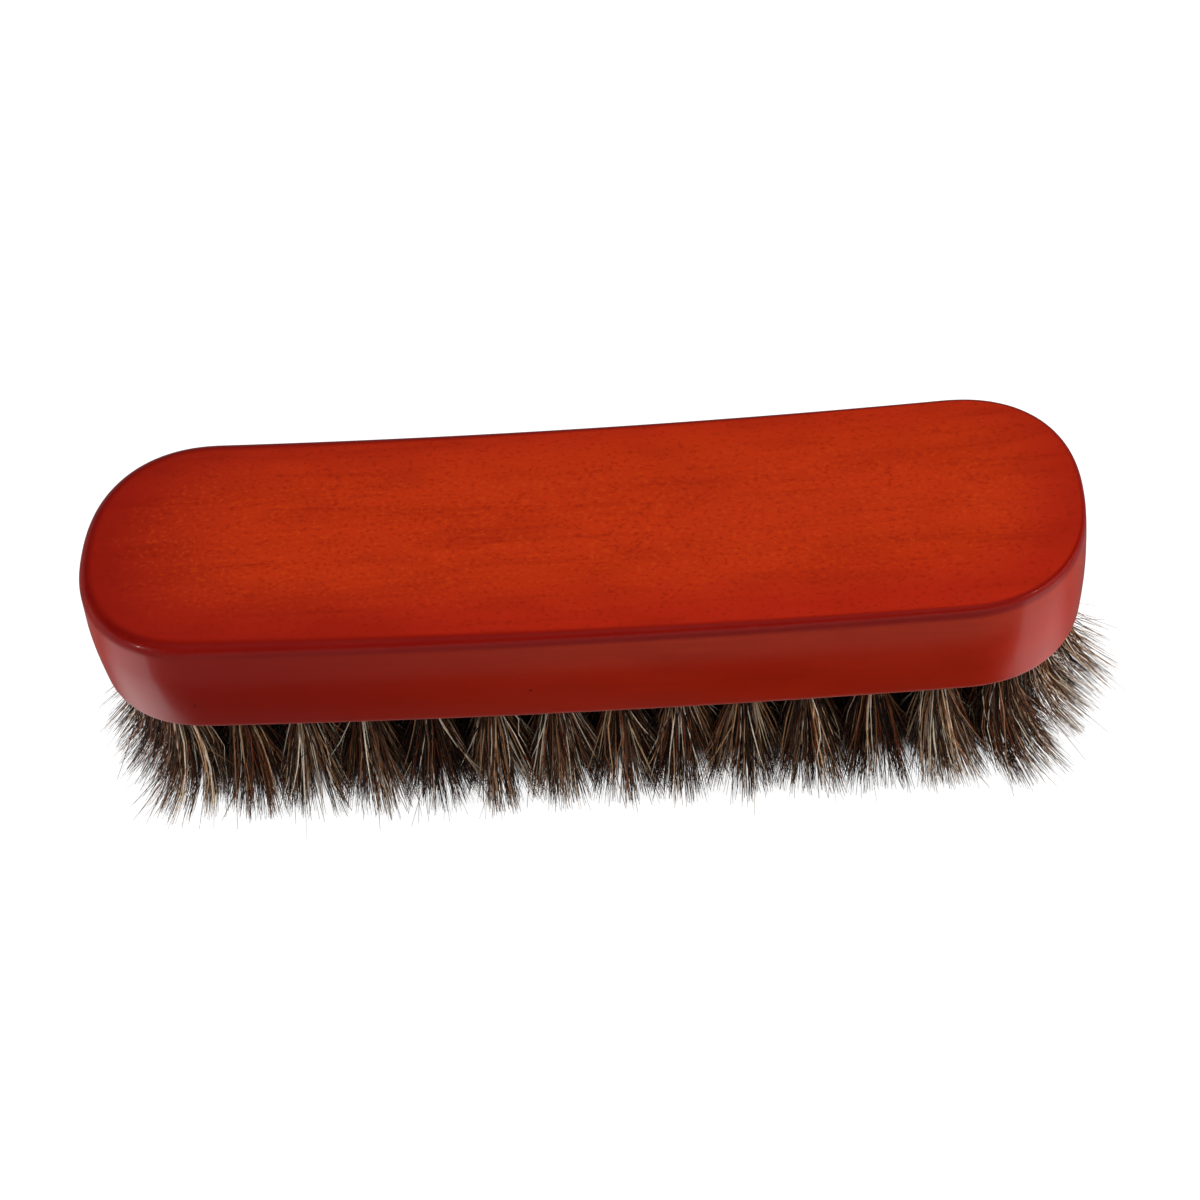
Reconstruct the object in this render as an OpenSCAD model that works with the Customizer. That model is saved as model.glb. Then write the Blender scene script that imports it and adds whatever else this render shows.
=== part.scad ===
// Shoe shine brush: a bowed hardwood block, drilled from below, with tufts of
// horsehair folded over flat wire anchors that are driven into the holes.
// X runs along the brush, Y across it and Z up. The trimmed tips lie in Z = 0.

/* [Block] */
// Length of the wooden block
block_length = 170; // [150:1:200]
// Width of the wooden block
block_width = 50; // [44:1:60]
// Thickness of the wooden block
block_thickness = 19.5; // [17:0.5:26]
// Length of each rounded end
end_length = 22; // [18:1:25]
// Squareness of the end's curve, where 2 is a plain ellipse
end_power = 2.3; // [2:0.1:3]
// Rise of the ends above the middle
bow = 2.4; // [0:0.2:4]
// Swell of the side wall at half its height
belly = 0.4; // [0:0.1:1]
// Radius of the top edge
top_round = 1.6; // [0.4:0.2:3]
// Radius of the bottom edge
bottom_round = 0.8; // [0.2:0.2:1.6]

/* [Holes] */
// Diameter of each tuft's hole
hole_d = 4.8; // [4:0.1:5.4]
// Depth of each hole down to its flat bottom
hole_depth = 11; // [9:0.5:13]
// Distance from the block's edge to the centre of the outer holes
edge_margin = 6; // [5:0.5:7]
// Distance from the block's end to the last holes of the outer rows
corner_margin = 15; // [13:0.5:18]
// Number of holes in each outer row
outer_row_holes = 14; // [10:2:14]
// Outward lean of the holes along the sides, in degrees
side_lean = 3; // [0:1:8]
// Outward lean of the holes at the ends, in degrees
end_lean = 15; // [0:1:18]
// How late towards the ends the holes start to lean
lean_power = 5; // [3:1:8]

/* [Hair] */
// Length of the hair below the block before the last trim
hair_length = 25; // [18:1:35]
// Depth of the flat trim across the longest hair
trim = 0.5; // [0.1:0.1:1]
// Number of strands in a tuft, one of them in the middle
strand_count = 6; // [5:1:6]
// Width of a strand where it leaves the tuft's root
strand_root_w = 1.3; // [1:0.1:1.4]
// Width of a strand at its tip
strand_tip_w = 0.7; // [0.4:0.1:1]
// Length of the tight root that stands below the block
root_stub = 1; // [0.6:0.1:2]
// Greatest shortfall of an outer strand
ragged = 1.6; // [0:0.1:3]
// Share by which the outer strands' splay varies
splay_ratio = 0.15; // [0:0.05:0.3]
// How late the strands of a tuft splay
splay_power = 1.5; // [1:0.1:2.5]
// Gap between neighbouring tufts at their tips
tip_gap = 0.9; // [0.6:0.1:3]
// Depth to which a strand is seated in the tuft's root
strand_seat = 1.2; // [0.8:0.1:2]
// Gap from the outer strands to the edge of the root
strand_rim = 0.15; // [0.05:0.05:0.3]

/* [Anchors] */
// Bite of each end of the anchor into the wood
anchor_bite = 0.4; // [0.2:0.1:0.8]
// Height of the anchor along the hole
anchor_height = 2.2; // [1.5:0.1:3]
// Thickness of the anchor's flat wire
anchor_thickness = 0.4; // [0.3:0.1:0.6]
// Thickness of the hair folded over the anchor
fold = 1.2; // [0.8:0.1:2]

/* [Clearances] */
// Gap between a tuft's root and the wall of its hole
root_clearance = 0.1; // [0.05:0.05:0.2]
// Gap between the folded hair and the faces of its anchor
anchor_clearance = 0.05; // [0.02:0.01:0.1]

/* [Hidden] */
half_l = block_length / 2;
half_w = block_width / 2;
straight = half_l - end_length;

// Steps of the block's surface
end_steps = 14;
side_steps = 16;
round_steps = 4;
belly_steps = 6;

// Places of the holes: five rows, with the second and fourth set half a pitch aside
pitch = 2 * (half_l - corner_margin) / (outer_row_holes - 1);
outer_y = half_w - edge_margin;
inner_y = outer_y / 2;
end_x = half_l - edge_margin;
cross_rows = 2 * outer_row_holes + 1;
most_in_row = 3;

// Heights at the middle of the block
under_z = hair_length - trim;

// Root of a tuft
root_d = hole_d - 2 * root_clearance;
root_top = hole_depth - root_clearance;
anchor_w = hole_d + 2 * anchor_bite;
anchor_top = root_top - fold;
circle_steps = 48;

// Strands of a tuft
strand_sides = 3;
strand_steps = 3;
ring_reach = root_d / 2 - strand_rim - strand_root_w / 2;
neighbour = min(pitch, norm([pitch / 2, inner_y]));
tip_reach = (neighbour - tip_gap - strand_tip_w) / 2;
golden = 0.618034;

function two_digits(n) = n < 10 ? str("0", n) : str(n);
function bow_at(x) = bow * pow(x / half_l, 2);
function fraction(n) = n * golden - floor(n * golden);

// Half of the outline from the right tip to the left one, drawn in by inset:
// two ends of a superellipse with a straight side between them
function half_outline(inset) = let(
    end = end_length - inset,
    side = half_w - inset,
    turn = [for (i = [0:end_steps]) 90 * i / end_steps],
    right = [for (t = turn) [
        straight + end * pow(cos(t), 2 / end_power),
        side * pow(sin(t), 2 / end_power)
    ]],
    run = [for (i = [1:side_steps - 1]) [straight * (1 - 2 * i / side_steps), side]],
    left = [for (i = [0:end_steps]) [-right[end_steps - i].x, right[end_steps - i].y]]
) concat(right, run, left);

// The wall from top to bottom as pairs of inset and height below the top:
// a quarter round, a swollen side and a smaller quarter round
function wall_profile() = let(
    wall = block_thickness - top_round - bottom_round,
    top = [for (i = [0:round_steps]) let(t = 90 * i / round_steps)
        [top_round * (1 - sin(t)), top_round * (1 - cos(t))]],
    side = [for (i = [1:belly_steps - 1]) let(v = i / belly_steps)
        [-belly * sin(180 * v), top_round + wall * v]],
    bottom = [for (i = [0:round_steps]) let(t = 90 * i / round_steps)
        [bottom_round * (1 - cos(t)), block_thickness - bottom_round * (1 - sin(t))]]
) concat(top, side, bottom);

// One closed ring of the wall, raised towards the ends by the bow
function wall_ring(inset, drop) = let(
    half = half_outline(inset),
    last = len(half) - 1,
    back = [for (i = [1:last - 1]) [half[last - i].x, -half[last - i].y]]
) [for (p = concat(half, back))
    [p.x, p.y, under_z + block_thickness - drop + bow_at(p.x)]];

module block_body() {
    profile = wall_profile();
    rings = [for (p = profile) wall_ring(p[0], p[1])];
    count = len(rings[0]);
    half = count / 2;
    base = (len(rings) - 1) * count;
    walls = [for (r = [0:len(rings) - 2]) for (i = [0:count - 1]) let(
        a = r * count + i,
        b = r * count + (i + 1) % count
    ) each [[a, b, b + count], [a, b + count, a + count]]];
    strips = [for (i = [0:half - 1]) let(
        a = i,
        b = i + 1,
        c = count - i - 1,
        d = (count - i) % count
    ) each [
        if (b != c) [a, c, b],
        if (a != d) [a, d, c]
    ]];
    underside = [for (f = strips) [base + f[0], base + f[2], base + f[1]]];
    polyhedron([for (r = rings) each r], concat(walls, strips, underside), convexity = 4);
}

// Distance from the middle line to the outer row, which follows the rounded ends
function outer_row_y(x) = let(
    past = max(0, abs(x) - straight) / (end_length - edge_margin)
) outer_y * pow(1 - pow(past, end_power), 1 / end_power);

// The holes of one cross row: three and two by turns, with one more at each end
function row_holes(n) = let(
    step = n - 1 - outer_row_holes,
    x = step * pitch / 2,
    last = abs(step) == outer_row_holes
) step % 2 != 0
    ? [[x, -outer_row_y(x)], [x, 0], [x, outer_row_y(x)]]
    : concat([[x, -inner_y], [x, inner_y]], last ? [[sign(x) * end_x, 0]] : []);

// Sideways run of a hole for each millimetre down
function lean(p) = [
    sign(p.x) * tan(end_lean) * pow(abs(p.x) / end_x, lean_power),
    tan(side_lean) * p.y / outer_y
];

// Puts its children at a hole's mouth, with Z along the hole into the wood
module at_hole(p) {
    slope = lean(p);
    turn_y = -atan(slope.x);
    turn_x = atan(slope.y * cos(turn_y));
    translate([p.x, p.y, under_z + bow_at(p.x)])
        rotate([turn_x, turn_y, 0])
            children();
}

module anchor_blank(clearance = 0) {
    thick = anchor_thickness + 2 * clearance;
    high = anchor_height + 2 * clearance;
    translate([-thick / 2, -anchor_w / 2, anchor_top - anchor_height - clearance])
        cube([thick, anchor_w, high]);
}

module hole_cutter() {
    mouth = hole_d / 2;
    translate([0, 0, -mouth])
        cylinder(h = hole_depth + mouth, d = hole_d, $fn = circle_steps);
    anchor_blank();
}

module block() {
    color([0.64, 0.14, 0.06])
        difference() {
            block_body();
            for (n = [1:cross_rows]) for (p = row_holes(n)) at_hole(p) hole_cutter();
        }
}

// The folded hair in its hole, with the slot that its anchor fills
module tuft_root() {
    difference() {
        translate([0, 0, -root_stub])
            cylinder(h = root_top + root_stub, d = root_d, $fn = circle_steps);
        anchor_blank(anchor_clearance);
    }
}

// A strand is a three-sided tube on level rings, from inside the root down to its tip
module strand(p, angle, spread, short) {
    slope = lean(p);
    mouth_z = under_z + bow_at(p.x);
    tip_z = max(0, mouth_z - hair_length + short);
    start = root_stub - strand_seat;
    rings = [for (i = [0:strand_steps]) let(
        t = i / strand_steps,
        down = start + (mouth_z - tip_z - start) * t,
        away = spread[0] + (spread[1] - spread[0]) * pow(t, splay_power),
        reach = (strand_root_w + (strand_tip_w - strand_root_w) * t) / 2,
        mid = p + slope * down + away * [cos(angle), sin(angle)]
    ) [for (j = [0:strand_sides - 1]) let(a = angle + 360 * j / strand_sides)
        [mid.x + reach * cos(a), mid.y + reach * sin(a), mouth_z - down]]];
    last = strand_steps * strand_sides;
    walls = [for (i = [0:strand_steps - 1]) for (j = [0:strand_sides - 1]) let(
        a = i * strand_sides + j,
        b = i * strand_sides + (j + 1) % strand_sides
    ) each [[a, b, b + strand_sides], [a, b + strand_sides, a + strand_sides]]];
    caps = [for (j = [1:strand_sides - 2]) each [[0, j + 1, j], [last, last + j, last + j + 1]]];
    polyhedron([for (r = rings) each r], concat(walls, caps));
}

module tuft(p, number) {
    around = strand_count - 1;
    turn = 360 * fraction(number);
    at_hole(p) tuft_root();
    strand(p, turn, [0, 0], 0);
    for (k = [1:around]) let(chance = fraction(number * around + k))
        strand(p, turn + 360 * k / around,
            [ring_reach, tip_reach * (1 - splay_ratio * chance)], ragged * chance);
}

module tuft_row(n) {
    holes = row_holes(n);
    color(n % 2 == 0 ? [0.24, 0.17, 0.13] : [0.40, 0.31, 0.25])
        for (i = [0:len(holes) - 1]) tuft(holes[i], most_in_row * n + i);
}

module anchor_row(n) {
    color([0.72, 0.72, 0.70])
        for (p = row_holes(n)) at_hole(p) anchor_blank();
}

block();
for (n = [1:cross_rows]) {
    tuft_row(n);
    anchor_row(n);
}
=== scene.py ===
"""A shoe shine brush: a bowed hardwood block in red lacquer, with tufts of horsehair in its underside.

The block is a closed surface drilled from below. Each tuft is a bundle of single hairs in its hole,
and the wire anchors keep their solids. X runs along the brush, Y across it and Z up, and the tips of
the longest hairs lie in Z = 0.
"""

import logging
import math
from collections.abc import Callable
from dataclasses import dataclass
from enum import Enum
from typing import Any

import bmesh
import bpy
import numpy as np
from mathutils import Matrix, Vector


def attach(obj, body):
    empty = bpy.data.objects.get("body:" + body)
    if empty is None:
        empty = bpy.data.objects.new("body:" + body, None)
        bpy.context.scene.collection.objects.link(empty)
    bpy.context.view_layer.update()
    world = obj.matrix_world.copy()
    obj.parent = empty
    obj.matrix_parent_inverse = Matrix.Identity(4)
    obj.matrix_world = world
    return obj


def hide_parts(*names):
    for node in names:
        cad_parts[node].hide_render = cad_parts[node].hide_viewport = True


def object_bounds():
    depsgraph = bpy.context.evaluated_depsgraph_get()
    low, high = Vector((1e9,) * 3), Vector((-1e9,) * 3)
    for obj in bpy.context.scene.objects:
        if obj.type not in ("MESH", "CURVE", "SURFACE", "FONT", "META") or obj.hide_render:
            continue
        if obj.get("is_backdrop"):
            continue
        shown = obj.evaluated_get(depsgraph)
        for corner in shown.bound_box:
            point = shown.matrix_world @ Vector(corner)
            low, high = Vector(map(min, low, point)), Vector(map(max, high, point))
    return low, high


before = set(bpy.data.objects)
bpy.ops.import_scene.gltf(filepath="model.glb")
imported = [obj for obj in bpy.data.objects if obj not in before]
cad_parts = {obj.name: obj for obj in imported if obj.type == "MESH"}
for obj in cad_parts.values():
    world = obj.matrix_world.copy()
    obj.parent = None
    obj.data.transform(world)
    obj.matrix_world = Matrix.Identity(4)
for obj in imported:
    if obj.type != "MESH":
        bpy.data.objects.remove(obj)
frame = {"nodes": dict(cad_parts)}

LOG = logging.getLogger("brush")
MM = 0.001
BODY = "root"

Array = np.ndarray
Object = bpy.types.Object
Material = bpy.types.Material
Colour = tuple[float, float, float, float]
Triple = tuple[float, float, float]
Span = tuple[float, float]

# Where a smooth step starts and ends, and its two levels where they aren't 0 and 1.
Step = tuple[float, ...]

# Values or sockets by the number or the name of a node's input.
Inputs = dict[int | str, Any]


class Slot(Enum):
    """The part's material slots."""

    WOOD = "lacquered_wood"
    HAIR = "horsehair"
    ANCHOR = "anchor_wire"


def linear(screen: int) -> float:
    """A screen value from 0 to 255 without its display curve, from 0 to 1."""
    value = screen / 255
    return value / 12.92 if value <= 0.04045 else ((value + 0.055) / 1.055) ** 2.4


def tint(*screen: int) -> Colour:
    """A colour from its red, green and blue screen values, with full alpha."""
    return (*map(linear, screen), 1.0)


def math_method(kind: str, order: int = 1) -> Callable[..., "Sock"]:
    """A method of Sock for one kind of Math node.

    Args:
        kind: The node's operation.
        order: 1 where the socket is the first term, -1 where it is the last.

    Returns:
        The method, which takes the other terms.
    """

    def method(self: "Sock", *others: "Sock | float") -> "Sock":
        """The Math node's value for the socket and the other terms."""
        terms = (self, *others)[::order]
        return self.bench.node("Math", dict(enumerate(terms)), operation=kind)

    return method


class Sock:
    """An output of a shader node that Python's operators add up and multiply."""

    def __init__(self, bench: "Bench", socket: bpy.types.NodeSocket) -> None:
        """Keeps the socket and the bench that owns it."""
        self.bench = bench
        self.socket = socket

    __add__ = __radd__ = math_method("ADD")
    __sub__ = math_method("SUBTRACT")
    __rsub__ = math_method("SUBTRACT", order=-1)
    __mul__ = __rmul__ = math_method("MULTIPLY")
    __truediv__ = math_method("DIVIDE")
    __pow__ = math_method("POWER")
    __abs__ = math_method("ABSOLUTE")

    # The socket's value, and never less than the other term.
    over = math_method("MAXIMUM")

    def ramp(self, start: float, end: float, low: float = 0.0, high: float = 1.0) -> "Sock":
        """A smooth step from one level to another.

        Args:
            start: Value at which the step leaves the low level.
            end: Value at which it reaches the high level.
            low: Level before the step.
            high: Level after the step.

        Returns:
            The stepped value.
        """
        inputs = {0: self, 1: start, 2: end, 3: low, 4: high}
        return self.bench.node("MapRange", inputs, interpolation_type="SMOOTHSTEP")


class Bench:
    """The node tree of a material or of the world, to which nodes are added."""

    def __init__(self, owner: Material | bpy.types.World) -> None:
        """Empties the owner's node tree."""
        self.owner = owner
        owner.use_nodes = True
        self.tree = owner.node_tree
        self.tree.nodes.clear()

    def node(
        self, kind: str, inputs: Inputs | None = None, output: int | str = 0, **settings: Any
    ) -> Sock:
        """Adds a node.

        Args:
            kind: The node's type, without the ShaderNode before it.
            inputs: Its inputs that don't keep their usual values.
            output: Number or name of the output to hand back.
            settings: Its properties, which are set before the inputs.

        Returns:
            The chosen output.
        """
        made = self.tree.nodes.new(f"ShaderNode{kind}")
        for key, value in settings.items():
            setattr(made, key, value)
        for key, value in (inputs or {}).items():
            if isinstance(value, Sock):
                self.tree.links.new(value.socket, made.inputs[key])
            else:
                made.inputs[key].default_value = value
        return Sock(self, made.outputs[output])

    def gradient(self, value: Sock, places: tuple[float, ...], colours: tuple[Colour, ...]) -> Sock:
        """The colour at a value between 0 and 1 on a scale that has these colours at these places."""
        made = self.node("ValToRGB", {0: value})
        stops = made.socket.node.color_ramp.elements
        while len(stops) < len(places):
            stops.new(1.0)
        for stop, place, colour in zip(stops, places, colours):
            stop.position = place
            stop.color = colour
        return made

    def place(self) -> Sock:
        """The point in the object's own frame."""
        return self.node("TexCoord", output="Object")

    def attribute(self, name: str) -> Sock:
        """A number that the mesh carries."""
        return self.node("Attribute", output="Fac", attribute_name=name)

    def split(self, vector: Sock) -> tuple[Sock, ...]:
        """The three numbers of a vector."""
        parts = self.node("SeparateXYZ", {0: vector}).socket.node.outputs
        return tuple(Sock(self, part) for part in parts)

    def noise(self, vector: Sock, stretch: Triple, **inputs: float) -> Sock:
        """Fractal noise.

        Args:
            vector: The point to read it at.
            stretch: Cells per metre along each axis.
            inputs: More of the noise node's inputs, such as Detail.

        Returns:
            The noise, from 0 to 1 and mostly near a half.
        """
        scaled = self.node("VectorMath", {0: vector, 1: stretch}, operation="MULTIPLY")
        return self.node("TexNoise", {"Vector": scaled, "Scale": 1.0, **inputs})

    def coats(self, colour: Sock | Colour, *layers: tuple[Sock, Sock | Colour]) -> Sock:
        """A colour under other colours, which are laid over it in turn, each by its share."""
        for share, coat in layers:
            colour = self.node("Mix", {0: share, 6: colour, 7: coat}, output=2, data_type="RGBA")
        return colour

    def rays(self) -> list[Sock]:
        """Whether a camera, a glossy and a transmitted ray meets the surface."""
        kinds = ("Camera", "Glossy", "Transmission")
        return [self.node("LightPath", output=f"Is {kind} Ray") for kind in kinds]

    def surface(self, inputs: Inputs) -> Material:
        """Ends a material in a Principled shader with these inputs."""
        return self.finish(self.node("BsdfPrincipled", inputs))

    def finish(self, shader: Sock) -> Material | bpy.types.World:
        """Links the shader to the output and hands back the owner."""
        kind = "World" if isinstance(self.owner, bpy.types.World) else "Material"
        made = self.tree.nodes.new(f"ShaderNodeOutput{kind}")
        self.tree.links.new(shader.socket, made.inputs["Surface"])
        return self.owner


@dataclass(frozen=True)
class BlockShape:
    """The block's form and the places of its holes, in metres and degrees."""

    length: float = 170 * MM
    width: float = 50 * MM
    thickness: float = 19.5 * MM
    end_length: float = 22 * MM
    end_power: float = 2.3
    bow: float = 2.4 * MM
    belly: float = 0.4 * MM
    top_round: float = 1.6 * MM
    round_fade: float = 0.4
    bottom_round: float = 0.8 * MM
    hair_length: float = 25 * MM
    trim: float = 0.5 * MM
    hole_d: float = 4.8 * MM
    hole_depth: float = 11 * MM
    edge_margin: float = 6 * MM
    corner_margin: float = 15 * MM
    outer_row_holes: int = 14
    side_lean: float = 3.0
    end_lean: float = 15.0
    lean_power: float = 5.0

    @property
    def half_l(self) -> float:
        """Half of the length."""
        return self.length / 2

    @property
    def half_w(self) -> float:
        """Half of the width."""
        return self.width / 2

    @property
    def straight(self) -> float:
        """Half of the length of the straight sides."""
        return self.half_l - self.end_length

    @property
    def under_z(self) -> float:
        """Height of the underside at the middle."""
        return self.hair_length - self.trim

    @property
    def top_z(self) -> float:
        """Height of the top face at the middle."""
        return self.under_z + self.thickness

    @property
    def outer_y(self) -> float:
        """Distance from the middle line to the outer rows of holes."""
        return self.half_w - self.edge_margin

    @property
    def end_x(self) -> float:
        """Distance from the middle to the hole at each end."""
        return self.half_l - self.edge_margin

    def bow_at(self, x: Any) -> Any:
        """Rise of the block at x, a number, an array or a socket, by the square of its distance."""
        return self.bow * (x / self.half_l) ** 2.0

    def spread(self, x: Sock, y: Sock, power: float) -> Sock:
        """How far a point lies from the middle line: 0 on it, 1 on the outline.

        It is the root of the sum of the powers of the runs along an end and across the block.
        """
        along = (abs(x) - self.straight).over(0.0) / self.end_length
        return (along**power + (abs(y) / self.half_w) ** power) ** (1 / power)

    def cross_rows(self) -> list[Array]:
        """The holes in rows across the block, from left to right.

        Rows of three and of two take turns, half a pitch apart. In the ends the outer holes follow
        the outline's superellipse, drawn in by the margin. The first and the last row have one more
        hole at the very end.

        Returns:
            For each row the x and y of its holes.
        """
        pitch = 2 * (self.half_l - self.corner_margin) / (self.outer_row_holes - 1)
        rows = []
        for step in range(-self.outer_row_holes, self.outer_row_holes + 1):
            x = step * pitch / 2
            if step % 2:
                past = max(0.0, abs(x) - self.straight) / (self.end_length - self.edge_margin)
                y = self.outer_y * (1 - past**self.end_power) ** (1 / self.end_power)
                row = [(x, -y), (x, 0.0), (x, y)]
            else:
                row = [(x, -self.outer_y / 2), (x, self.outer_y / 2)]
                if abs(step) == self.outer_row_holes:
                    row.append((math.copysign(self.end_x, x), 0.0))
            rows.append(np.array(row))
        return rows

    def lean(self, holes: Array) -> Array:
        """Sideways run of each hole for each unit down.

        It grows with a high power of the distance along the block, and evenly across it.
        """
        x, y = holes[:, 0], holes[:, 1]
        run = np.sign(x) * math.tan(math.radians(self.end_lean))
        run = run * (np.abs(x) / self.end_x) ** self.lean_power
        return np.stack([run, math.tan(math.radians(self.side_lean)) * y / self.outer_y], axis=1)


def place_object(name: str, data: bpy.types.ID) -> Object:
    """A new object in the scene that shows this data."""
    made = bpy.data.objects.new(name, data)
    bpy.context.scene.collection.objects.link(made)
    return made


def mesh_object(name: str, points: Array, faces: list[Array]) -> Object:
    """A new object in the scene with its mesh at its real place.

    Args:
        name: Name of the piece.
        points: Corners in metres, of any shape that ends in three numbers.
        faces: Arrays of corner numbers, one row a face, each array with one number of corners.

    Returns:
        The object, at the origin, unturned and unscaled.
    """
    points = points.reshape(-1, 3)
    corners = np.concatenate([face.ravel() for face in faces])
    sizes = np.concatenate([np.full(len(face), face.shape[1]) for face in faces])
    starts = np.cumsum(sizes) - sizes
    mesh = bpy.data.meshes.new(name)
    mesh.vertices.add(len(points))
    mesh.vertices.foreach_set("co", points.ravel().astype(np.float32))
    mesh.loops.add(len(corners))
    mesh.loops.foreach_set("vertex_index", corners.astype(np.int32))
    mesh.polygons.add(len(sizes))
    mesh.polygons.foreach_set("loop_start", starts.astype(np.int32))
    mesh.update(calc_edges=True)
    mesh.shade_smooth()
    return place_object(name, mesh)


def disc(turn: Array, far: Array | float) -> Array:
    """Points in the plane from a turn and a distance."""
    return np.stack([far * np.cos(turn), far * np.sin(turn)], axis=-1)


def raised(flat: Array, height: Array) -> Array:
    """Points in space from points in the plane and their heights."""
    height = np.broadcast_to(height[..., None], (*flat.shape[:-1], 1))
    return np.concatenate([flat, height], axis=-1)


def circle(count: int) -> Array:
    """Points at even steps on a circle of radius 1."""
    return disc(np.linspace(0, 2 * np.pi, count, endpoint=False), 1.0)


def grid_faces(rings: int, count: int) -> Array:
    """Faces between rings of a closed surface.

    Args:
        rings: Number of rings.
        count: Number of points in each ring, the last of which joins the first.

    Returns:
        Four corner numbers for each face, ring by ring.
    """
    ring, spot = np.meshgrid(np.arange(rings - 1), np.arange(count), indexing="ij")
    here = ring * count + spot
    beside = ring * count + (spot + 1) % count
    return np.stack([here, here + count, beside + count, beside], axis=-1).reshape(-1, 4)


def tube_faces(count: int, rings: int, sides: int, rising: bool = False) -> list[Array]:
    """Faces of closed tubes whose points follow one another, tube by tube and ring by ring.

    Args:
        count: Number of tubes.
        rings: Number of rings in each.
        sides: Number of points in each ring.
        rising: Whether the rings go up; otherwise they go down.

    Returns:
        The walls' faces of four corners, and the caps: first every tube's first one.
    """
    way = -1 if rising else 1
    start = (np.arange(count) * rings * sides)[:, None]
    walls = (grid_faces(rings, sides)[:, ::way] + start[:, None]).reshape(-1, 4)
    spots = np.arange(sides)
    caps = [spots[::way] + start, spots[::-way] + (rings - 1) * sides + start]
    return [walls, np.concatenate(caps)]


def tidy_mesh(made: Object, gap: float) -> None:
    """Merges points closer than the gap and turns every face outwards."""
    mesh = bmesh.new()
    mesh.from_mesh(made.data)
    bmesh.ops.remove_doubles(mesh, verts=mesh.verts, dist=gap)
    bmesh.ops.dissolve_degenerate(mesh, edges=mesh.edges, dist=gap)
    bmesh.ops.recalc_face_normals(mesh, faces=mesh.faces)
    mesh.to_mesh(made.data)
    mesh.free()


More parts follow.
